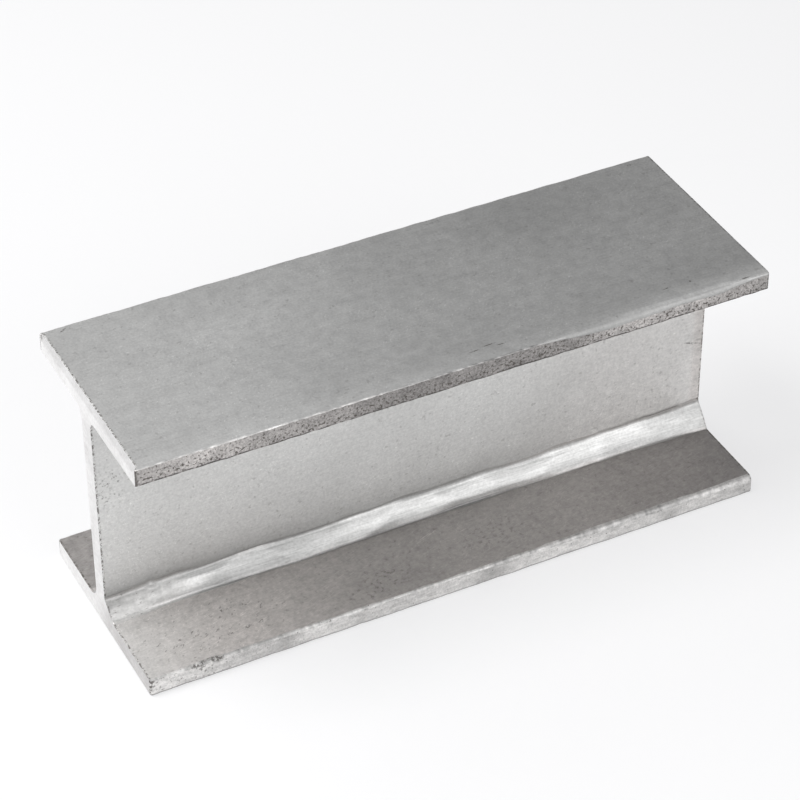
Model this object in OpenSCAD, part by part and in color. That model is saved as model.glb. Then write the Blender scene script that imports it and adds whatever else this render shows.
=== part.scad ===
// Short length of steel H-beam: two flanges and a web in one piece of metal, sawn square at both ends.
// Three of its roots keep the mill's round, and the near lower root is ground flat in overlapping wheel passes.
// X runs along the beam, Y across the flanges and Z up. The origin is the middle of the underside.

/* [Section] */
// Width of each flange, edge to edge
flange_width = 100; // [70:1:200]
// Overall depth, from the underside to the top face
depth = 118; // [80:1:240]
// Thickness of each flange
flange_thickness = 8.5; // [6:0.5:16]
// Thickness of the web
web_thickness = 9.5; // [5:0.5:16]
// How far the web lies behind the middle of the flanges
web_offset = 1.25; // [-2:0.25:2]

/* [Length] */
// Length between the two sawn ends
length = 286; // [60:1:1000]

/* [Roots] */
// Radius of the mill's round where the web meets a flange
root_radius = 6; // [2:0.5:12]
// Reach of the ground fillet across the lower flange
ground_reach = 7; // [4:0.5:14]
// Height of the ground fillet up the web
ground_height = 8.5; // [4:0.5:14]

/* [Grinding] */
// Radius of the wheel that ground the fillet
wheel_radius = 150; // [60:5:250]
// Spacing of the wheel's passes along the beam
pass_pitch = 26; // [16:1:40]
// How far a pass strays from that even spacing
pass_stray = 4; // [0:0.5:5]

/* [Edges] */
// Radius of the worn arrises that run along the flange edges
arris_radius = 1.2; // [0.4:0.1:2.5]
// Radius of the flange corners, seen from above
corner_radius = 1.2; // [0.4:0.1:5]

/* [Hidden] */
$fn = 96;
// Height of the lower flange's inner face, and of the upper flange's
lower_inside = flange_thickness;
upper_inside = depth - flange_thickness;
// Where the web's two faces lie across the flanges
web_front = web_offset - web_thickness / 2;
web_back = web_offset + web_thickness / 2;
// Depth that each fillet's stock runs into the web and the flange behind it
bite = min(web_thickness, flange_thickness) / 4;
// Width and slope of the ground fillet's flat, from its toe on the flange to its toe on the web
ground_width = norm([ground_reach, ground_height]);
ground_slope = atan2(ground_height, ground_reach);
// Passes on each side of the middle, and the depth that puts the mean of their hollows on the flat
side_passes = ceil(length / 2 / pass_pitch);
pass_depth = pow(pass_pitch, 2) / (24 * wheel_radius);
// Turn from each pass to the next in the rule for its stray, which is odd about the middle of the beam
stray_turn = 137.5;
// Segments in the wheel's circle
wheel_fn = 720;

// Rectangle with its lower left corner at the origin and its four corners rounded
module rounded_rectangle(size, radius) {
    translate([radius, 0]) square([size[0] - 2 * radius, size[1]]);
    translate([0, radius]) square([size[0], size[1] - 2 * radius]);
    for (x = [radius, size[0] - radius], y = [radius, size[1] - radius])
        translate([x, y]) circle(radius);
}

// Round root: corner stock less a circle that touches both faces, in the corner's own quarter
module round_root() {
    difference() {
        translate([-bite, -bite]) square(root_radius + bite);
        translate([root_radius, root_radius]) circle(root_radius);
    }
}

// The beam's section as it left the mill, drawn across the flanges and up, with the near lower root left out
module section() {
    for (base = [0, upper_inside])
        translate([-flange_width / 2, base])
            rounded_rectangle([flange_width, flange_thickness], arris_radius);
    translate([web_front, lower_inside - bite])
        square([web_thickness, upper_inside - lower_inside + 2 * bite]);
    translate([web_back, lower_inside]) round_root();
    translate([web_back, upper_inside]) mirror([0, 1]) round_root();
    translate([web_front, upper_inside]) rotate(180) round_root();
}

// Carries a drawing in the section's plane along the whole beam
module along_beam() {
    rotate([90, 0, 90]) linear_extrude(length, center = true) children();
}

// The wheel's passes, each a shallow hollow that lies across the fillet from toe to toe
module wheel_passes() {
    for (pass = [-side_passes : side_passes])
        translate([pass * pass_pitch + pass_stray * sin(pass * stray_turn), 0, wheel_radius - pass_depth])
            rotate([90, 0, 0])
                cylinder(2 * ground_width, r = wheel_radius, center = true, $fn = wheel_fn);
}

// Ground root: a bar of corner stock less the wheel's passes
module ground_root() {
    difference() {
        along_beam()
            translate([web_front - ground_reach - bite, lower_inside - bite])
                square([ground_reach + 2 * bite, ground_height + 2 * bite]);
        translate([0, web_front - ground_reach / 2, lower_inside + ground_height / 2])
            rotate([ground_slope, 0, 0]) wheel_passes();
    }
}

// The section and the ground root in one piece, with the flange corners eased from above
module h_beam() {
    color("gainsboro")
        intersection() {
            union() {
                along_beam() section();
                ground_root();
            }
            linear_extrude(depth)
                translate([-length / 2, -flange_width / 2])
                    rounded_rectangle([length, flange_width], corner_radius);
        }
}

h_beam();
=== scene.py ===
"""Visual model of a short sawn length of steel H-beam, standing on a pale studio floor."""

import bpy
import numpy as np
from mathutils import Euler, Matrix, Vector


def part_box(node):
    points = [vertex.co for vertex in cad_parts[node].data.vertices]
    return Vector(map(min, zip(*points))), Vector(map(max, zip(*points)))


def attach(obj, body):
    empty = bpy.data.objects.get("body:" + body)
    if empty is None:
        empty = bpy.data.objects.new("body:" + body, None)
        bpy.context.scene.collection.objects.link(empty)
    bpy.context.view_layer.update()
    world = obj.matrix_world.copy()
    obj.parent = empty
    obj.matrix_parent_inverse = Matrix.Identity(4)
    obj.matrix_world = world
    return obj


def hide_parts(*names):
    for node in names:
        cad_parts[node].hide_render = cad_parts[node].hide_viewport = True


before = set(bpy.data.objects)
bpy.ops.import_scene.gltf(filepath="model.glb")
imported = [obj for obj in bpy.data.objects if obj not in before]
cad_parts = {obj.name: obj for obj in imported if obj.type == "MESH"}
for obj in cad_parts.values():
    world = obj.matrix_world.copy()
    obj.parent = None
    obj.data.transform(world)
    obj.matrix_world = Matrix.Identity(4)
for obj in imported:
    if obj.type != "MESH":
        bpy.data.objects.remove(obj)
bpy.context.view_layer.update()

# The mill section: two flanges and a web rolled in one piece of mild steel, with a round in each root.
# It is drawn across the beam in millimetres, y to the back and z up, at stations along x. The web was
# rolled a little behind the middle of the flanges.
to_millimetres = 1000.0
half_length, half_width, depth = np.array(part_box("h_beam"))[1] * to_millimetres
flange = 8.5
upper_inside = depth - flange
web_front = -3.5
web_back = 6.0
back_root = 6.0
back_foot_root = 7.2
front_root = 4.5
end_steps = np.array([0.0, 0.12, 0.25, 0.45, 0.8, 1.3, 2.0])
inner_gap = 3.0
inner_count = 246
inner_stations = np.linspace(inner_gap - half_length, half_length - inner_gap, inner_count)
x = np.concatenate([end_steps - half_length, inner_stations, half_length - end_steps[::-1]])
station = x[:, None]
from_left = x + half_length
from_right = half_length - x


# The flange edges: left as the rolls squeezed them out, with arrises worn by handling. The upper near
# arris is almost sharp at the left and rubbed to a broad soft round on the right third. The lower near
# arris is nicked at the left, and slid to a bright bevel on the right.
def step(value, low, high):
    """Smooth step from 0 at low to 1 at high: three times the square less twice the cube of the share."""
    share = np.clip((value - low) / (high - low), 0.0, 1.0)
    return share ** 2 * (3.0 - 2.0 * share)


def ramped(value, start, *ramps):
    """The start plus, for each ramp, its change times the smooth step from its first place to its last."""
    total = start
    for low, high, change in ramps:
        total = total + change * step(value, low, high)
    return total


def bell(value, middle, spread):
    """Bell curve: e to the minus square of how many spreads the value lies from the middle."""
    return np.exp(-((value - middle) / spread) ** 2)


def lumps(along, across, size, seed):
    """Smooth random heights from 0 to 1: values on a square lattice, size apart, joined by a smooth
    step."""
    cells = 512
    lattice = np.random.default_rng(seed).random((cells, cells))
    along, across = np.broadcast_arrays(np.asarray(along) / size, np.asarray(across) / size)
    column = np.floor(along).astype(int)
    row = np.floor(across).astype(int)
    rightward = step(along - column, 0.0, 1.0)
    upward = step(across - row, 0.0, 1.0)
    left, right = column % cells, (column + 1) % cells
    below, above = row % cells, (row + 1) % cells
    lower = lattice[left, below] * (1.0 - rightward) + lattice[right, below] * rightward
    upper = lattice[left, above] * (1.0 - rightward) + lattice[right, above] * rightward
    return lower * (1.0 - upward) + upper * upward


def waves(size, seed):
    """Smooth random heights from 0 to 1 at the stations: lumps of that size, cut along one line."""
    return lumps(x, 0.0, size, seed)


def plan_corner(gap, radius):
    """How far a corner of that radius stands back at a gap from the end: the depth below the circle's
    tangent."""
    inside = np.clip(radius - gap, 0.0, radius)
    return radius - np.sqrt(radius ** 2 - inside ** 2)


def eased(left_radius, right_radius):
    """How far the edge stands back at every station: the sum of its left and right corners."""
    return plan_corner(from_left, left_radius) + plan_corner(from_right, right_radius)


left_near_corner = 0.3
left_foot_corner = 1.0
left_far_corner = 1.5
right_near_corner = 0.9
right_far_corner = 0.4
edge_wander = 0.12
wander_size = 23.0
first_nick = -121.5
second_nick = -113.0
rubbed = step(x, 28.0, 66.0) * ramped(x, 1.0, (118.0, 140.0, -0.7))
upper_near_arris = 0.3 + 0.35 * waves(2.2, 11) + 2.2 * rubbed * (0.7 + 0.6 * waves(17.0, 12))
upper_low_arris = 0.55 + 0.6 * waves(4.0, 13)
nicked = 0.8 * bell(x, first_nick, 2.6) + bell(x, second_nick, 2.4)
lower_near_arris = 0.7 + 0.8 * waves(6.0, 14) + 1.2 * step(x, 10.0, 90.0) + 0.3 * nicked
foot_arris = 0.5 + 0.5 * waves(8.0, 15)
far_arris = 0.8 + 0.5 * waves(7.0, 16)
upper_near = eased(left_near_corner, right_near_corner) - half_width + edge_wander * waves(wander_size, 17)
lower_near = eased(left_foot_corner, right_near_corner) - half_width + edge_wander * waves(wander_size, 18)
far_edge = half_width - eased(left_far_corner, right_far_corner)

# The ground root: the near lower root, dressed by hand with a grinding wheel to a bright bead. Each pass
# leaves a long hollow, tilted across the bead, so that facets meet in slanting lines. One more pass runs up
# the web at the left and one along the foot in the middle. The bead widens where the wheel ran out.
run_out_start = 118.0
run_out = step(x, run_out_start, half_length)
ground_reach = 6.4 + 1.5 * run_out
ground_height = ramped(x, 8.4, (-half_length, half_length, 0.9), (run_out_start, half_length, 0.6))
ground_height = ramped(x, ground_height, (-122.0, -half_length, -1.1))
ground_height -= 0.9 * bell(x, 8.0, 12.0) + 0.8 * bell(x, 58.0, 12.0)
ground_width = np.hypot(ground_reach, ground_height)
ground_rise = ground_height / ground_width
ground_run = ground_reach / ground_width
ground_lift = -0.1
crown = 0.4 + 0.35 * bell(x, 20.0, 50.0)
waver = 0.18 * waves(5.0, 23) + 0.1 * waves(2.4, 24)
burr = 0.8 * bell(x, -122.6, 1.7)
hollow_radius = 400.0
pass_pitch = 26.0
pass_stray = 4.0
stray_turn = 137.5
tilt_turn = 97.0
tilt_start = 88.0
# Each pass brings a shine: painted highlight or shade that raises or lowers the tone of its facet.
shine_change = 0.05
shine_start = 190.0
facet_blend = 0.1
shine_blend = 0.4
passes = np.arange(-6, 7)
pass_tilts = 0.075 - 0.007 * passes
even_places = passes * pass_pitch + pass_stray * np.sin(np.radians(passes * stray_turn))
even_slopes = pass_tilts * np.sin(np.radians(passes * tilt_turn + tilt_start))
even_shine = shine_change * np.cos(np.radians(passes * stray_turn + shine_start))
extra_passes = [
    {"place": -99.0, "radius": 260.0, "slope": -0.12, "ridge": 2.6, "shine": 0.1},
    {"place": 15.0, "radius": 2300.0, "slope": 0.19, "ridge": -2.7, "shine": -0.02},
]


def with_extra(even, name):
    """The even passes' values, followed by the extra passes' values of that name."""
    return np.append(even, [extra[name] for extra in extra_passes])


pass_places = with_extra(even_places, "place")
pass_radii = with_extra(np.full(len(passes), hollow_radius), "radius")
pass_slopes = with_extra(even_slopes, "slope")
pass_ridges = with_extra(np.zeros(len(passes)), "ridge")
pass_shine = with_extra(even_shine, "shine")


def beside(values, across):
    """One value for each station, shaped to meet an array that has the stations first."""
    return values.reshape((-1,) + (1,) * (across.ndim - 1))


def pass_levels(across):
    """Height that each pass would leave over the flat between the toes: a parabola along the beam, plus its
    slope times the way across from its ridge."""
    hollow = (beside(x, across)[..., None] - pass_places) ** 2 / (2.0 * pass_radii)
    return hollow + pass_slopes * (across[..., None] - pass_ridges)


def pass_shares(across, blend):
    """Share of each pass in the face: an exponential of how many blends it lies above the lowest, over
    their sum."""
    each = pass_levels(across)
    shares = np.exp((each.min(axis=-1, keepdims=True) - each) / blend)
    return shares / shares.sum(axis=-1, keepdims=True)


def ground_level(across):
    """Height of the ground face over the flat: the passes weighed by their shares, plus a crown that falls
    off as the square of the way across, the hand's waver along both toes, and a burr at the web."""
    level = (pass_levels(across) * pass_shares(across, facet_blend)).sum(axis=-1)
    toeward = (2.0 * across / beside(ground_width, across)) ** 2
    crowned = beside(crown, across) * (1.0 - toeward)
    wavered = beside(waver, across) * step(toeward, 0.5, 1.0)
    burred = beside(burr, across) * step(across, 2.5, 5.0)
    return level + crowned + wavered + burred + ground_lift


def ground_points(across):
    """Points of the ground face: the flat's middle, plus the way across along it and the level out from
    it."""
    level = ground_level(across)
    rise = beside(ground_rise, across)
    onward = beside(ground_run, across)
    y = web_front - beside(ground_reach, across) / 2.0 + across * onward - level * rise
    z = flange + beside(ground_height, across) / 2.0 + across * rise + level * onward
    return np.stack([y, z], axis=-1)


def at_stations(value):
    """The value at every station, as a column."""
    return np.broadcast_to(np.asarray(value, float), x.shape)[:, None]


def bend(start, corner, end, count):
    """Quadratic curve at each station, from start to end and drawn towards the corner."""
    share = (np.arange(count) / count)[:, None]
    return start * (1.0 - share) ** 2 + corner * 2.0 * share * (1.0 - share) + end * share ** 2


# Each toe lies where the ground face meets the web or the flange, and is found by settling towards it.
settle_rounds = 20
web_toe = ground_width / 2.0
flange_toe = -ground_width / 2.0
for settle in range(settle_rounds):
    web_toe = (ground_reach / 2.0 + ground_level(web_toe) * ground_rise) / ground_run
    flange_toe = -(ground_height / 2.0 + ground_level(flange_toe) * ground_run) / ground_rise
feather_up = 0.2 + 0.7 * step(waves(19.0, 21), 0.45, 0.85) * (1.0 - run_out)
feather_up += 0.6 * step(x, 50.0, 95.0) + 1.2 * bell(x, 22.0, 32.0)
feather_down = 0.25 + 0.6 * step(waves(24.0, 22), 0.45, 0.85) * (1.0 - run_out)
feather_down += 0.9 * step(x, -100.0, -130.0)
toe_height = ground_points(web_toe)[:, 1] + feather_up
toe_reach = ground_points(flange_toe)[:, 0] - feather_down
upper_feather_count = 4
facet_count = 20
lower_feather_count = 5
facet_share = np.arange(facet_count) / facet_count
facet_from = (web_toe - feather_up)[:, None]
facet_to = (flange_toe + feather_down)[:, None]
facet_across = facet_from + (facet_to - facet_from) * facet_share
facet = ground_points(facet_across)
upper_feather = bend(
    np.stack([at_stations(web_front), toe_height[:, None]], axis=-1),
    ground_points(web_toe)[:, None],
    ground_points(web_toe - feather_up)[:, None],
    upper_feather_count,
)
lower_feather = bend(
    ground_points(flange_toe + feather_down)[:, None],
    ground_points(flange_toe)[:, None],
    np.stack([toe_reach[:, None], at_stations(flange)], axis=-1),
    lower_feather_count,
)

# A tone is the share of light that bare metal sends back. The bead is brightest on its right half, darker on
# its lower flank with painted shade, and blotched at the left, where it was left rough. A painted highlight
# and painted light brighten parts of it at the left.
rough = step(x, -96.0, -124.0)
ground_tone = ramped(x, 0.45, (-70.0, 8.0, 0.2), (20.0, 95.0, 0.08), (105.0, 140.0, -0.15)) + 0.03 * rough
# Painted shade on the bead's lower flank, all along but the far left.
flank = 0.12 * step(x, -125.0, -85.0) + 0.03 * bell(x, 6.0, 65.0)
# Painted highlight and shade on each facet, from its pass's shine.
shine = (pass_shares(facet_across, shine_blend) * pass_shine).sum(axis=-1)
# Painted highlight: a bright wedge across the bead near the left end.
wedge = bell(station, -104.0 - 6.0 * (facet_share - 0.4), 8.0)
wedge = wedge * step(facet_share, 0.24, 0.36) * step(facet_share, 1.0, 0.7)
blotched = rough[:, None] * (lumps(station, -facet_across, 2.4, 45) - 0.5)
facet_tone = ground_tone[:, None] * (1.0 + shine)
facet_tone = facet_tone * (1.0 - flank[:, None] * step(facet_share, 0.35, 1.0))
facet_tone = facet_tone * (1.0 + 0.36 * wedge + 0.3 * blotched)
upper_tone = ground_tone * (ramped(x, 0.85, (60.0, 110.0, -0.1)) - 0.2 * bell(x, 0.0, 55.0))
# The lower feather: raised at the left by painted light and lowered by the flank's painted shade.
lower_tone = ground_tone * (ramped(x, 1.1, (-115.0, -75.0, -0.24)) - 1.5 * flank)
# Painted shade along the middle of the lower feather.
lower_tone *= 1.0 - 0.3 * bell(x, 12.0, 50.0)
feather_share = np.arange(lower_feather_count) / lower_feather_count
# Painted light lifts the lower feather at the left, most towards the flange.
blended = step(station, -88.0, -118.0) * (0.2 + 0.8 * feather_share)
lower_tone = lower_tone[:, None] * (1.0 + 0.42 * blended)


# The whole beam in one skin: the section's runs and arcs in order round it, carried along every station.
# Each zone has its finish and its tone. The order starts on the underside and goes up the back, over the
# top and down the front. The left end's top edge was filed after the cut.
def run(y_from, z_from, y_to, z_to, count, gather=0.8):
    """Straight run at each station. Its points gather towards both ends by a sine of their share of the
    way."""
    share = np.arange(count) / count
    share = share - gather * np.sin(2.0 * np.pi * share) / (2.0 * np.pi)
    y = at_stations(y_from) + (at_stations(y_to) - at_stations(y_from)) * share
    z = at_stations(z_from) + (at_stations(z_to) - at_stations(z_from)) * share
    return np.stack([y, z], axis=-1)


def arc(y_centre, z_centre, radius, start, end, count):
    """Arc at each station: the centre plus the radius times the cosine and sine of a turn in degrees."""
    turn = np.radians(start + (end - start) * np.arange(count) / count)
    y = at_stations(y_centre) + at_stations(radius) * np.cos(turn)
    z = at_stations(z_centre) + at_stations(radius) * np.sin(turn)
    return np.stack([y, z], axis=-1)


MILL, SCALED, WORN, GROUND, SAWN = range(5)
web_foot = 4.0
end_arris = 0.2
filed_length = 1.3
filed_slope = 2.1
rubbed_start = 46.0
plain_tone = 0.73
underside_tone = 0.5
foot_tone = 0.4
far_edge_tone = 0.6
far_bevel_tone = 0.75
# Painted shade: the lower flange behind the web is given a darker tone.
back_flange_tone = 0.45
back_root_tone = 0.66
far_line_tone = 0.3
far_scale_tone = 0.42
far_arris_tone = 0.7
top_tone = ramped(x, 0.545, (-140.0, 50.0, -0.08))
edge_tone = ramped(x, 0.35, (-60.0, -30.0, -0.09), (-20.0, 20.0, 0.03), (46.0, 72.0, 0.17))
edge_tone = ramped(x, edge_tone, (104.0, 128.0, -0.08)) + 0.13 * bell(x, -112.0, 24.0)
line_tone = 0.12 + 0.25 * step(waves(2.0, 41), 0.55, 0.8)
arris_tone = 0.92 - 0.4 * waves(1.7, 42) - 0.25 * step(x, -50.0, 0.0)
rubbed_tone = 0.54 - 0.07 * bell(x, 60.0, 18.0)
soft_finish = np.where(x + 14.0 * waves(4.0, 43) > rubbed_start, MILL, WORN)
soft_tone = np.where(soft_finish == MILL, rubbed_tone, arris_tone)
flange_tone = ramped(x, 0.64, (-90.0, -5.0, -0.18), (40.0, 110.0, -0.04))
bevel_tone = 0.78 - 0.2 * waves(9.0, 44) - 0.16 * step(waves(1.4, 46), 0.5, 0.8)
# Each slid patch has its middle, its spread and the change in its tone.
slid_patches = [
    (-95.0, 14.0, -0.09),
    (-83.0, 5.0, -0.14),
    (-63.0, 8.0, 0.06),
    (-48.0, 7.0, -0.09),
    (-25.0, 9.0, -0.06),
    (13.0, 8.0, -0.2),
    (50.0, 18.0, 0.07),
    (74.0, 7.0, -0.04),
    (101.0, 5.0, -0.12),
]
slid_tone = ramped(x, 0.7, (-120.0, -135.0, 0.07), (112.0, 138.0, -0.09))
for middle, spread, change in slid_patches:
    slid_tone = slid_tone + change * bell(x, middle, spread)
far_inside = far_edge - far_arris
upper_near_inside = upper_near + upper_near_arris
upper_low_inside = upper_near + upper_low_arris
lower_near_inside = lower_near + lower_near_arris
foot_inside = lower_near + foot_arris
back_foot = web_back + back_foot_root
back_head = web_back + back_root
front_head = web_front - front_root
# Each zone has its finish, its tone and its points. A run or an arc ends with its count of points, and some
# runs add how far these gather.
skin = [
    (MILL, underside_tone, run(foot_inside, 0.0, far_inside, 0.0, 18)),
    (WORN, far_edge_tone, arc(far_inside, far_arris, far_arris, -90.0, 0.0, 4)),
    (WORN, far_edge_tone, run(far_edge, far_arris, far_edge, flange - far_arris, 8)),
    (WORN, far_bevel_tone, arc(far_inside, flange - far_arris, far_arris, 0.0, 90.0, 5)),
    (MILL, back_flange_tone, run(far_inside, flange, back_foot, flange, 22)),
    (MILL, back_root_tone, arc(back_foot, flange + back_foot_root, back_foot_root, -90.0, -180.0, 8)),
    (MILL, plain_tone, run(web_back, flange + back_foot_root, web_back, upper_inside - back_root, 30)),
    (MILL, plain_tone, arc(back_head, upper_inside - back_root, back_root, 180.0, 90.0, 8)),
    (MILL, plain_tone, run(back_head, upper_inside, far_inside, upper_inside, 20)),
    (SCALED, far_line_tone, arc(far_inside, upper_inside + far_arris, far_arris, -90.0, 0.0, 4)),
    (SCALED, far_scale_tone, run(far_edge, upper_inside + far_arris, far_edge, depth - far_arris, 8)),
    (WORN, far_arris_tone, arc(far_inside, depth - far_arris, far_arris, 0.0, 90.0, 5)),
    (MILL, top_tone, run(far_inside, depth, upper_near_inside, depth, 48)),
    (
        soft_finish,
        soft_tone,
        arc(upper_near_inside, depth - upper_near_arris, upper_near_arris, 90.0, 180.0, 7),
    ),
    (
        SCALED,
        edge_tone,
        run(upper_near, depth - upper_near_arris, upper_near, upper_inside + upper_low_arris, 11, 0.3),
    ),
    (
        SCALED,
        line_tone,
        arc(upper_low_inside, upper_inside + upper_low_arris, upper_low_arris, 180.0, 270.0, 5),
    ),
    (MILL, plain_tone, run(upper_low_inside, upper_inside, front_head, upper_inside, 20)),
    (MILL, plain_tone, arc(front_head, upper_inside - front_root, front_root, 90.0, 0.0, 8)),
    (MILL, plain_tone, run(web_front, upper_inside - front_root, web_front, toe_height + web_foot, 40)),
    (MILL, plain_tone, run(web_front, toe_height + web_foot, web_front, toe_height, 10, 0.5)),
    (GROUND, upper_tone, upper_feather),
    (GROUND, facet_tone, facet),
    (GROUND, lower_tone, lower_feather),
    (MILL, flange_tone, run(toe_reach, flange, lower_near_inside, flange, 30)),
    (
        WORN,
        bevel_tone,
        arc(lower_near_inside, flange - lower_near_arris, lower_near_arris, 90.0, 180.0, 7),
    ),
    (WORN, slid_tone, run(lower_near, flange - lower_near_arris, lower_near, foot_arris, 10, 0.3)),
    (WORN, foot_tone, arc(foot_inside, foot_arris, foot_arris, 180.0, 270.0, 4)),
]


def over(value, points):
    """The value at every point of a zone. It is one number, one for each station or one for each point."""
    value = np.asarray(value, float)
    return np.broadcast_to(value if value.ndim == 2 else at_stations(value), points.shape[:2])


section = np.concatenate([points for finish, tone, points in skin], axis=1)
finish_of = np.concatenate([over(finish, points) for finish, tone, points in skin], axis=1)
tone_of = np.concatenate([over(tone, points) for finish, tone, points in skin], axis=1)
rings, around = section.shape[:2]

# The relief on the skin, in and out along its normals: the slight waves of rolling, the pits of the scaled
# and worn edges, the rough left end of the bead, the undercut above the bead, and the edges of both ends.
scaled_pit = 0.11
worn_pit = 0.1
rough_pit = 0.14
undercut_depth = 0.22
undercut_height = 0.5
undercut_spread = 0.35
on_face = 0.001
near_face = 0.5
filed_margin = 0.01
ahead = np.roll(section, -1, axis=1)
way_round = ahead - np.roll(section, 1, axis=1)
outward = np.stack([way_round[..., 1], -way_round[..., 0]], axis=-1)
outward /= np.linalg.norm(outward, axis=-1, keepdims=True)
girth = np.cumsum(np.linalg.norm(ahead - section, axis=-1), axis=1)
relief = -0.06 * lumps(station, girth, 26.0, 31) - 0.025 * lumps(station, girth, 8.0, 32)
pitted = step(lumps(station, girth, 1.9, 33), 0.6, 0.95)
pitted = pitted + 0.6 * step(lumps(station, girth, 3.7, 34), 0.6, 0.9)
relief -= np.select([finish_of == SCALED, finish_of == WORN], [scaled_pit, worn_pit], 0.0) * pitted
relief -= np.where(finish_of == GROUND, rough_pit, 0.0) * rough[:, None] * lumps(station, girth, 2.1, 39)
web_gap = section[..., 1] - toe_height[:, None]
on_web = (finish_of == MILL) & (np.abs(section[..., 0] - web_front) < on_face) & (web_gap >= 0.0)
undercut = 0.1 + 0.3 * (1.0 - step(station, -120.0, -60.0)) + 0.9 * step(station, 106.0, 126.0)
undercut = undercut * (0.4 + 0.9 * lumps(station, 0.0, 7.0, 35))
relief -= undercut_depth * undercut * np.where(on_web, bell(web_gap, undercut_height, undercut_spread), 0.0)
on_top = (finish_of == MILL) & (section[..., 1] > depth - near_face)
from_edge = half_width - np.abs(section[..., 0])
filed_reach = np.where(on_top, filed_length * step(from_edge, 0.4, 3.0), 0.0)
filed = filed_slope * np.clip(filed_reach - from_left[:, None], 0.0, None)
filed += eased(end_arris, end_arris)[:, None]
section = section + outward * (relief - filed)[..., None]
finish_of = np.where(on_top & (from_left[:, None] < filed_reach - filed_margin), SAWN, finish_of)

# The mesh: one quad between each pair of neighbours, with a flat face over both ends. A face of the sawn
# finish stays flat, so that the filed edge keeps an even slope.
to_metres = 0.001
vertices = np.empty((rings, around, 3))
vertices[..., 0] = station
vertices[..., 1:] = section
ring, spot = np.meshgrid(np.arange(rings - 1), np.arange(around), indexing="ij")
after = (spot + 1) % around
quads = np.stack(
    [ring * around + spot, (ring + 1) * around + spot, (ring + 1) * around + after, ring * around + after],
    axis=-1,
).reshape(-1, 4)
left_end = np.arange(around)[::-1]
right_end = (rings - 1) * around + np.arange(around)
faces = quads.tolist() + [left_end.tolist(), right_end.tolist()]
mesh = bpy.data.meshes.new("rolled_beam")
mesh.from_pydata(vertices.reshape(-1, 3) * to_metres, [], faces)
finishes = np.append(finish_of[:-1].ravel(), [SAWN, SAWN])
mesh.polygons.foreach_set("material_index", finishes.astype(np.int32))
mesh.polygons.foreach_set("use_smooth", finishes != SAWN)


def mark(name, values):
    """Stores one number for each point of the skin, for the finishes to read."""
    filled = np.broadcast_to(values, (rings, around)).astype(np.float32)
    mesh.attributes.new(name, "FLOAT", "POINT").data.foreach_set("value", filled.ravel())


# What the finishes read: the dark line along both toes, partly grime in the crease and partly painted shade,
# the way to the nearer sawn end, the brown stain of the lower flange and the toes, and the tone, which dips
# in painted shade above the bead and in a few dull patches, and is lifted by painted light at the left toe.
across_y = section[..., 0]
end_gap_limit = 20.0
stain_width = 0.9
stain_limit = 0.8
flange_crease_width = 0.5
web_crease_width = ramped(station, 0.5, (85.0, 115.0, 0.5))
near_flange_top = np.abs(section[..., 1] - flange) < near_face
flange_gap = toe_reach[:, None] - across_y
on_lower = (finish_of == MILL) & near_flange_top & (flange_gap >= 0.0)
on_back = near_flange_top & (across_y > web_back)
# Dark lines along both toes, partly grime in the crease and partly painted shade; the line under the middle
# of the bead is a painted shadow.
web_crease = 0.3 * step(lumps(station, 0.0, 14.0, 36), 0.45, 0.6) + 0.5 * step(station, 102.0, 118.0)
flange_crease = 0.3 * step(lumps(station, 0.0, 14.0, 37), 0.45, 0.6) * step(station, -115.0, -70.0)
flange_crease = flange_crease + 0.25 * bell(station, 5.0, 45.0)
crease = np.where(on_web, web_crease * bell(web_gap, 0.0, web_crease_width), 0.0)
crease = np.where(on_lower, flange_crease * bell(flange_gap, 0.0, flange_crease_width), crease)
mark("crease", crease)
end_gap = np.minimum(np.maximum(from_left[:, None] - filed_reach, 0.0), from_right[:, None])
mark("end_gap", np.clip(end_gap, 0.0, end_gap_limit))
toe_stain = bell(np.minimum(np.abs(web_gap), np.abs(flange_gap)), 0.0, stain_width)
toe_stain = toe_stain * ramped(station, 0.3, (20.0, 90.0, 0.6)) + 0.2 * rough[:, None]
web_stain = 0.7 * step(from_right[:, None], 7.0, 2.0) + 0.3 * step(station, 30.0, 110.0)
stain = np.where(finish_of == GROUND, toe_stain, 0.0)
stain = np.where(on_web, np.clip(web_stain, 0.0, stain_limit), stain)
stain = np.where(on_back, 1.0, stain)
mark("stain", np.where(on_lower, step(station, -190.0, -90.0), stain))
# The web's tone: painted shade that dips just above the bead, most at the left, turning to a slight lift at
# the right, with a faint lift some 12 mm up and darker near the right end.
web_shade = ramped(station, 0.42, (-110.0, -20.0, -0.26), (40.0, 100.0, -0.27))
web_lift = 0.06 * step(station, -115.0, -70.0) + 0.02 * step(station, 60.0, 115.0)
shaded_web = 1.0 - web_shade * np.exp(-np.clip(web_gap, 0.0, None) / 7.0)
shaded_web += web_lift * bell(web_gap, 12.0, 14.0)
shaded_web -= 0.12 * step(from_right[:, None], 6.0, 1.0)
top_patch = 0.05 * bell(station, -60.0, 35.0) * bell(across_y, 20.0, 25.0)
top_patch -= 0.05 * bell(station, 88.0, 40.0) * bell(across_y, 32.0, 25.0)
front_strip = step(across_y, -38.0, -49.0) * ramped(station, 0.05, (40.0, 140.0, 0.12))
dull_patch = 0.06 * bell(station, -38.0, 22.0) * bell(across_y, -39.0, 10.0)
# Painted light: the lower flange is lifted next to the bead's toe at the left.
toe_blend = 0.05 * step(station, -98.0, -122.0) * bell(flange_gap, 0.0, 2.2)
tone_of = np.where(on_lower, tone_of - dull_patch + toe_blend, tone_of)
tone_of = np.where(on_web, tone_of * shaded_web, tone_of)
tone_of = np.where(on_top, tone_of + front_strip + top_patch, tone_of)
mark("tone", tone_of)

beam = bpy.data.objects.new("rolled_beam", mesh)
bpy.context.scene.collection.objects.link(beam)
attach(beam, "root")
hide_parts("h_beam")


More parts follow.
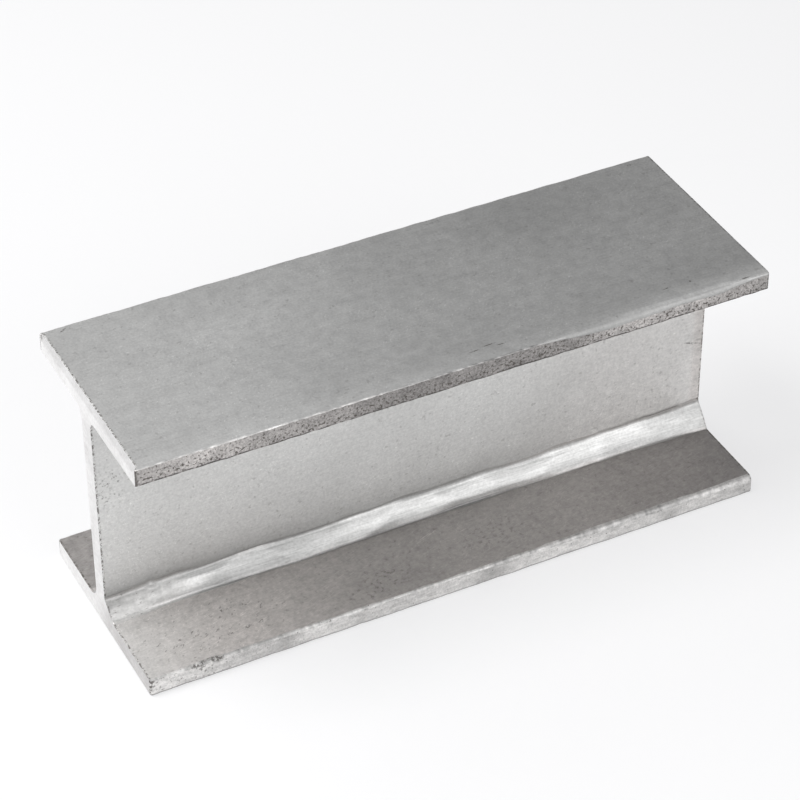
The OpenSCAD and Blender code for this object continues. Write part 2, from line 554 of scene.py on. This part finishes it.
# Mill skin: the flat faces, pickled to bare matt metal. It is mottled and finely grained, scratched along
# the beam and aslant, with pale specks and a few dark pits, and stained darker and warmer along the lower
# flange.
def node(tree, kind, inputs, **settings):
    """Adds a node. Each input takes a plain value or another node's output."""
    made = tree.nodes.new("ShaderNode" + kind)
    for name, value in settings.items():
        setattr(made, name, value)
    for name, value in inputs.items():
        if isinstance(value, bpy.types.NodeSocket):
            tree.links.new(value, made.inputs[name])
        else:
            made.inputs[name].default_value = value
    return made


def metal(name, roughness):
    """Bare metal: a material whose one shader is fully metallic, given back with its tree, its shader and
    the place on the object."""
    made = bpy.data.materials.new(name)
    made.use_nodes = True
    tree = made.node_tree
    shader = tree.nodes["Principled BSDF"]
    shader.inputs["Metallic"].default_value = 1.0
    shader.inputs["Roughness"].default_value = roughness
    return made, tree, shader, node(tree, "TexCoord", {}).outputs["Object"]


def lay(made, tree, shader, colour, heights, bump_depth):
    """Gives the shader its colour and a bump, with its depth in millimetres, and lays it on the skin."""
    bump = node(tree, "Bump", {"Height": heights, "Distance": bump_depth * to_metres})
    tree.links.new(colour, shader.inputs["Base Color"])
    tree.links.new(bump.outputs["Normal"], shader.inputs["Normal"])
    mesh.materials.append(made)


def noise(tree, place, scale, detail=2.0):
    """Soft random field from 0 to 1, with scale lumps to the metre."""
    return node(tree, "TexNoise", {"Vector": place, "Scale": scale, "Detail": detail}).outputs["Fac"]


def seen_from(tree, place, centre, size, turn=(0.0, 0.0, 0.0)):
    """The place measured from a centre, along axes turned by degrees, with each axis in units of its own
    size. Sizes are in millimetres."""
    inputs = {
        "Vector": place,
        "Location": [value * to_metres for value in centre],
        "Rotation": np.radians(turn),
        "Scale": [value * to_metres for value in size],
    }
    return node(tree, "Mapping", inputs, vector_type="TEXTURE").outputs["Vector"]


def stretched(tree, place, size, detail=2.0, turn=(0.0, 0.0, 0.0)):
    """Soft random field from 0 to 1, whose lumps are drawn out to a size along axes turned by degrees."""
    return noise(tree, seen_from(tree, place, (0.0, 0.0, 0.0), size, turn), 1.0, detail)


def calc(tree, operation, first, second):
    """One sum, difference or other plain operation on two numbers."""
    return node(tree, "Math", {0: first, 1: second}, operation=operation).outputs[0]


def times(tree, first, second):
    """The product of two numbers."""
    return calc(tree, "MULTIPLY", first, second)


def larger(tree, first, second):
    """The larger of two numbers."""
    return calc(tree, "MAXIMUM", first, second)


def deepened(tree, pits, marks, darkness):
    """The larger of the pits so far and the marks times their darkness."""
    return larger(tree, pits, times(tree, marks, darkness))


def weigh(tree, start, *fields):
    """The start plus, for each field, its distance from a half times its weight."""
    total = start
    for field, weight in fields:
        centred = calc(tree, "SUBTRACT", field, 0.5)
        total = node(tree, "Math", {0: centred, 1: weight, 2: total}, operation="MULTIPLY_ADD").outputs[0]
    return total


def fade(tree, value, low, high):
    """Smooth step from 0 at low to 1 at high."""
    inputs = {"Value": value, "From Min": low, "From Max": high}
    return node(tree, "MapRange", inputs, interpolation_type="SMOOTHSTEP").outputs["Result"]


def tint(tree, weight, first, second):
    """Colour that goes from first to second by the weight."""
    return node(tree, "Mix", {0: weight, 6: first, 7: second}, data_type="RGBA").outputs[2]


def shaded(tree, colour, share):
    """The colour times a share."""
    return node(tree, "VectorMath", {0: colour, "Scale": share}, operation="SCALE").outputs["Vector"]


def flecks(tree, place, size, share):
    """Small round flecks: 1 close to a random point in each cell and 0 from size outwards, in that share of
    the cells."""
    cells = node(tree, "TexVoronoi", {"Vector": place, "Scale": 1.0})
    chosen = node(tree, "SeparateColor", {"Color": cells.outputs["Color"]}).outputs[0]
    near = fade(tree, cells.outputs["Distance"], size, size * 0.4)
    return times(tree, near, calc(tree, "LESS_THAN", chosen, share))


def blot(tree, place, centre, size, turn=(0.0, 0.0, 0.0)):
    """One soft oval mark: 1 at its centre and 0 from its half sizes outwards."""
    local = seen_from(tree, place, centre, size, turn)
    away = node(tree, "VectorMath", {0: local}, operation="LENGTH").outputs["Value"]
    return fade(tree, away, 1.0, 0.4)


def stored(tree, name):
    """The number that the skin holds under that name."""
    return node(tree, "Attribute", {}, attribute_name=name).outputs["Fac"]


skin_colour = (1.0, 1.0, 0.988, 1.0)
stain_colour = (1.0, 0.955, 0.93, 1.0)
pit_colour = (0.10, 0.09, 0.08, 1.0)
mill_roughness = 0.63
# Each dent and scratch has its centre, its half sizes and its turn, and each speck patch its darkness last.
dents = [
    ((-133.5, 46.8, depth), (2.4, 0.6, 2.0), (0.0, 0.0, 28.0)),
    ((131.6, 46.7, depth), (1.3, 0.9, 2.0), (0.0, 0.0, 0.0)),
    ((8.0, -41.8, depth), (3.5, 0.45, 2.0), (0.0, 0.0, 4.0)),
    ((15.5, -40.6, depth), (4.5, 0.4, 2.0), (0.0, 0.0, 2.0)),
    ((20.0, -42.4, depth), (2.6, 0.4, 2.0), (0.0, 0.0, -3.0)),
    ((99.3, -39.8, depth), (3.2, 0.45, 2.0), (0.0, 0.0, 8.0)),
    ((110.3, -39.9, depth), (0.9, 0.7, 2.0), (0.0, 0.0, 0.0)),
    ((131.7, -48.4, depth), (3.4, 0.6, 2.0), (0.0, 0.0, 3.0)),
    ((137.0, web_front, 52.6), (5.0, 2.0, 0.5), (0.0, 18.0, 0.0)),
    ((142.2, web_front, 20.0), (1.4, 2.0, 0.8), (0.0, 0.0, 0.0)),
    ((-92.9, -37.6, flange), (1.2, 0.8, 2.0), (0.0, 0.0, 0.0)),
    ((-116.5, -48.6, flange), (7.5, 0.8, 2.0), (0.0, 0.0, 0.0)),
]
scratches = [
    ((-3.0, -20.4, flange), (5.0, 0.35, 2.0), (0.0, 0.0, 20.0)),
    ((0.6, -19.8, flange), (4.4, 0.3, 2.0), (0.0, 0.0, 22.0)),
    ((-6.2, -22.4, flange), (3.6, 0.3, 2.0), (0.0, 0.0, 18.0)),
    ((14.0, -24.0, flange), (4.0, 0.25, 2.0), (0.0, 0.0, 14.0)),
]
speck_patches = [
    ((-30.0, -37.0, flange), (14.0, 8.0, 4.0), 0.36),
    ((-40.0, -42.0, flange), (12.0, 6.0, 4.0), 0.36),
    ((26.0, -32.0, flange), (20.0, 12.0, 4.0), 0.26),
]
mill_skin, tree, shader, place = metal("mill_skin", mill_roughness)
cloud = noise(tree, place, 20.0)
mottle = noise(tree, place, 210.0)
fretted = noise(tree, place, 480.0, 3.0)
grain = noise(tree, place, 1000.0, 3.0)
drawn = stretched(tree, place, (14.0, 0.7, 0.7), 3.0)
aslant = stretched(tree, place, (6.0, 0.6, 0.6), 2.0, (0.0, 20.0, 48.0))
scored = times(tree, fade(tree, aslant, 0.62, 0.72), fade(tree, cloud, 0.42, 0.58))
hatch = stretched(tree, place, (5.0, 0.4, 0.4), 2.0, (0.0, 0.0, 20.0))
hatched = fade(tree, hatch, 0.56, 0.76)
stained = stored(tree, "stain")
blotch = weigh(tree, 0.06, (mottle, 0.34), (fretted, 0.34), (hatched, 0.2))
shade = weigh(tree, 1.1, (cloud, 0.22), (mottle, 0.09), (grain, 0.4), (drawn, 0.16), (scored, 0.2))
shade = calc(tree, "ADD", shade, times(tree, blotch, stained))
shade = times(tree, shade, stored(tree, "tone"))
colour = shaded(tree, tint(tree, stained, skin_colour, stain_colour), shade)
specks = flecks(tree, seen_from(tree, place, (0.0, 0.0, 0.0), (9.0, 4.0, 4.0)), 0.1, 0.22)
for centre, size, turn in scratches:
    specks = larger(tree, specks, blot(tree, place, centre, size, turn))
colour = shaded(tree, colour, weigh(tree, 1.1, (specks, 0.2)))
pits = times(tree, fade(tree, fretted, 0.36, 0.28), 0.2)
near_end = fade(tree, stored(tree, "end_gap"), 1.1, 0.4)
beaded = times(tree, near_end, fade(tree, noise(tree, place, 900.0, 3.0), 0.45, 0.57))
beaded = times(tree, beaded, fade(tree, cloud, 0.2, 0.42))
pits = deepened(tree, pits, beaded, 0.75)
# The toes' dark lines, partly painted shade, darken the skin like the pits.
pits = larger(tree, pits, stored(tree, "crease"))
ragged = fade(tree, grain, 0.42, 0.54)
for centre, size, turn in dents:
    dent = times(tree, blot(tree, place, centre, size, turn), ragged)
    pits = deepened(tree, pits, dent, 0.75)
web_specks = blot(tree, place, (-137.0, web_front, 73.0), (7.0, 4.0, 13.0))
web_specks = times(tree, web_specks, fade(tree, grain, 0.41, 0.31))
pits = deepened(tree, pits, web_specks, 0.65)
sparse = fade(tree, fretted, 0.45, 0.35)
for centre, size, darkness in speck_patches:
    cluster = times(tree, blot(tree, place, centre, size), sparse)
    pits = deepened(tree, pits, cluster, darkness)
dabs = fade(tree, stretched(tree, place, (2.4, 1.3, 1.3), 2.0, (0.0, 0.0, 40.0)), 0.37, 0.28)
dabs = times(tree, dabs, blot(tree, place, (-108.0, -32.0, flange), (48.0, 24.0, 4.0)))
pits = deepened(tree, pits, dabs, 0.55)
colour = tint(tree, pits, colour, pit_colour)
rubbing = weigh(tree, mill_roughness, (mottle, 0.2), (grain, 0.1))
tree.links.new(rubbing, shader.inputs["Roughness"])
lay(mill_skin, tree, shader, colour, weigh(tree, 0.0, (grain, 1.0), (drawn, 0.4)), 0.04)


# Scaled edge: the upper flange's edges, where the rolled surface is left, dull taupe and full of pits.
# The near one is paler towards the right, where handling has rubbed it.
def fade_along(tree, place, axis, low, high):
    """Smooth step along one axis, from 0 at low to 1 at high, both in millimetres."""
    value = node(tree, "SeparateXYZ", {"Vector": place}).outputs[axis]
    return fade(tree, value, low * to_metres, high * to_metres)


scale_colour = (1.0, 0.962, 0.94)
scaled_edge, tree, shader, place = metal("scaled_edge", 0.6)
patch = noise(tree, place, 190.0, 3.0)
speckle = noise(tree, place, 1100.0, 3.0)
shade = weigh(tree, 1.14, (patch, 1.0), (speckle, 1.9))
colour = shaded(tree, scale_colour, times(tree, shade, stored(tree, "tone")))
low_down = fade_along(tree, place, "Z", depth - 1.0, depth - 7.0)
pitting = weigh(tree, noise(tree, place, 840.0, 4.0), (low_down, -0.06))
pits = times(tree, fade(tree, pitting, 0.45, 0.36), 0.85)
near_end = fade(tree, stored(tree, "end_gap"), 1.1, 0.4)
pits = deepened(tree, pits, near_end, 0.7)
colour = tint(tree, pits, colour, pit_colour)
lay(scaled_edge, tree, shader, colour, speckle, 0.12)

# Worn edge: arrises and the lower flange's edges, rubbed bright where the beam was slid and stacked.
# Streaks run along it, and dark nicks, spots and dull patches break the bright metal.
worn_colour = (1.0, 0.985, 0.97)
# Each nick has its centre and its half sizes.
nick_marks = [
    ((first_nick, -49.4, 8.0), (4.2, 2.0, 1.2)),
    ((second_nick, -49.4, 8.0), (4.6, 2.0, 1.4)),
    ((-142.2, -49.4, 7.2), (1.6, 2.0, 1.6)),
]
worn_edge, tree, shader, place = metal("worn_edge", 0.62)
patch = stretched(tree, place, (5.0, 2.4, 2.4), 3.0)
streaks = stretched(tree, place, (7.0, 0.8, 0.8))
speckle = noise(tree, place, 1100.0)
fretted = noise(tree, place, 750.0, 3.0)
shade = weigh(tree, 1.0, (patch, 0.7), (streaks, 0.35), (speckle, 0.6))
colour = shaded(tree, worn_colour, times(tree, shade, stored(tree, "tone")))
pits = fade(tree, fretted, 0.33, 0.25)
chipped = fade(tree, fretted, 0.54, 0.46)
for centre, size in nick_marks:
    pits = larger(tree, pits, times(tree, blot(tree, place, centre, size), chipped))
spots = blot(tree, place, (-128.0, -50.0, 4.0), (36.0, 4.0, 9.0))
spots = times(tree, spots, fade(tree, fretted, 0.42, 0.34))
pits = deepened(tree, pits, spots, 0.75)
near_end = fade(tree, stored(tree, "end_gap"), 1.3, 0.5)
beaded = times(tree, near_end, fade(tree, fretted, 0.52, 0.42))
pits = times(tree, larger(tree, pits, beaded), 0.8)
colour = tint(tree, pits, colour, pit_colour)
lay(worn_edge, tree, shader, colour, speckle, 0.08)

# Ground metal: the wheel's face on the near lower root, dry and matt, with streaks along the beam that are
# fainter at the left, where a few dark scuffs show. It browns a little towards both toes.
ground_colour = (1.0, 1.0, 0.99, 1.0)
ground_metal, tree, shader, place = metal("ground_metal", 0.5)
streaks = stretched(tree, place, (8.0, 0.7, 0.7), 3.0)
hairs = stretched(tree, place, (11.0, 0.3, 0.3))
smear = stretched(tree, place, (18.0, 2.0, 2.0), 3.0)
speckle = noise(tree, place, 900.0)
lined = weigh(tree, 0.0, (streaks, 0.46), (hairs, 0.46))
lined = times(tree, lined, weigh(tree, 0.65, (fade_along(tree, place, "X", -120.0, -80.0), 0.7)))
shade = calc(tree, "ADD", lined, weigh(tree, 1.0, (smear, 0.34), (speckle, 0.46)))
colour = tint(tree, stored(tree, "stain"), ground_colour, stain_colour)
colour = shaded(tree, colour, times(tree, shade, stored(tree, "tone")))
near_end = fade(tree, stored(tree, "end_gap"), 1.0, 0.4)
beaded = times(tree, near_end, fade(tree, speckle, 0.5, 0.62))
scuffs = fade(tree, stretched(tree, place, (2.4, 0.9, 0.9)), 0.36, 0.28)
scuffs = times(tree, scuffs, fade_along(tree, place, "X", -95.0, -125.0))
pits = deepened(tree, times(tree, beaded, 0.7), scuffs, 0.5)
colour = tint(tree, pits, colour, pit_colour)
lay(ground_metal, tree, shader, colour, weigh(tree, 0.0, (streaks, 1.0), (speckle, 0.5)), 0.05)

# Sawn end: cut square by a band saw and left bare, very pale, with faint lines from the teeth and a few dull
# stains. The near lower part is duller. The filed edge along the left end's top has the same bare metal.
sawn_dull = (0.6, 0.585, 0.58, 1.0)
sawn_bright = (0.96, 0.955, 0.95, 1.0)
sawn_end, tree, shader, place = metal("sawn_end", 0.55)
lines = stretched(tree, place, (1000.0, 16.0, 0.6))
cloud = noise(tree, place, 110.0, 3.0)
speckle = noise(tree, place, 800.0)
upper = fade_along(tree, place, "Z", 100.0, 112.0)
upper_back = times(tree, upper, fade_along(tree, place, "Y", -30.0, 15.0))
lower = fade_along(tree, place, "Z", 20.0, 9.0)
lower_back = times(tree, lower, fade_along(tree, place, "Y", -20.0, 20.0))
far_stain = blot(tree, place, (-half_length, 36.0, depth), (5.0, 16.0, 10.0))
shade = weigh(tree, 0.795, (lines, 0.4), (cloud, 0.7), (speckle, 0.6))
shade = weigh(tree, shade, (upper, 0.04), (upper_back, 0.18))
shade = weigh(tree, shade, (lower, -0.58), (lower_back, 0.66), (far_stain, -0.15))
lay(sawn_end, tree, shader, tint(tree, shade, sawn_dull, sawn_bright), lines, 0.04)

# Studio floor: one wide pale sheet, in metres. The camera and bright metal see it part lit and part white,
# which keeps the beam's soft shadow.
floor_radius = 8.0
floor_drop = 0.0003
rim_count = 96
floor_white = (0.93, 0.93, 0.932, 1.0)
glow_white = (0.99, 0.99, 1.0, 1.0)
glow_share = 0.58
rim = np.radians(np.arange(rim_count) * 360.0 / rim_count)
rim_heights = np.full(rim_count, -floor_drop)
rim_points = np.stack([floor_radius * np.cos(rim), floor_radius * np.sin(rim), rim_heights], axis=-1)
floor_mesh = bpy.data.meshes.new("studio_floor")
floor_mesh.from_pydata(rim_points, [], [list(range(rim_count))])
floor = bpy.data.objects.new("studio_floor", floor_mesh)
bpy.context.scene.collection.objects.link(floor)
floor_paper = bpy.data.materials.new("floor_paper")
floor_paper.use_nodes = True
tree = floor_paper.node_tree
shader = tree.nodes["Principled BSDF"]
shader.inputs["Base Color"].default_value = floor_white
shader.inputs["Roughness"].default_value = 0.9
shader.inputs["Specular IOR Level"].default_value = 0.0
ray = node(tree, "LightPath", {})
seen = larger(tree, ray.outputs["Is Camera Ray"], ray.outputs["Is Glossy Ray"])
seen = larger(tree, seen, ray.outputs["Is Transmission Ray"])
glow = node(tree, "Emission", {"Color": glow_white, "Strength": 1.0})
whitened = times(tree, seen, glow_share)
lit = node(tree, "MixShader", {0: whitened, 1: shader.outputs[0], 2: glow.outputs[0]})
tree.links.new(lit.outputs[0], tree.nodes["Material Output"].inputs["Surface"])
floor_mesh.materials.append(floor_paper)

# Studio light: a grey room and three soft boxes, one high over the left end, so that the light falls off
# along the beam, one in front and one behind. Places and sizes are in metres, and power is in watts.
room_grey = (0.366, 0.366, 0.37, 1.0)
light_aim = (0.0, 0.0, 0.06)
world = bpy.data.worlds.new("studio_room")
bpy.context.scene.world = world
world.use_nodes = True
world.node_tree.nodes["Background"].inputs["Color"].default_value = room_grey
world.node_tree.nodes["Background"].inputs["Strength"].default_value = 1.0


def soft_box(name, place, width, height, power):
    """Rectangular area light at a place, turned to face the beam."""
    lamp = bpy.data.lights.new(name, "AREA")
    lamp.shape = "RECTANGLE"
    lamp.size = width
    lamp.size_y = height
    lamp.energy = power
    box = bpy.data.objects.new(name, lamp)
    box.location = place
    box.rotation_euler = (Vector(light_aim) - Vector(place)).to_track_quat("-Z", "Y").to_euler()
    bpy.context.scene.collection.objects.link(box)


soft_box("key_box", (-0.55, 0.1, 1.0), 0.6, 0.6, 7.4)
soft_box("front_box", (0.3, -1.3, 0.8), 1.0, 0.7, 8.0)
soft_box("back_box", (-0.5, 0.9, 0.8), 0.8, 0.8, 3.1)

# Camera: a long lens above the near left end, at the photograph's viewing angle. Its turns are in degrees,
# and it is level to about a quarter of one.
camera_place = Vector((-0.45980, -0.90591, 0.85685))
look_down = 37.858
look_right = 26.698
roll = -0.266
camera_data = bpy.data.cameras.new("camera")
camera_data.sensor_width = 36.0
camera_data.lens = 137.74
camera_data.clip_end = 100.0
camera = bpy.data.objects.new("camera", camera_data)
bpy.context.scene.collection.objects.link(camera)
camera_turn = Euler((np.radians(90.0 - look_down), 0.0, np.radians(-look_right))).to_matrix().to_4x4()
camera_roll = Matrix.Rotation(np.radians(roll), 4, "Z")
camera.matrix_world = Matrix.Translation(camera_place) @ camera_turn @ camera_roll
bpy.context.scene.camera = camera
bpy.context.scene.view_settings.view_transform = "Standard"
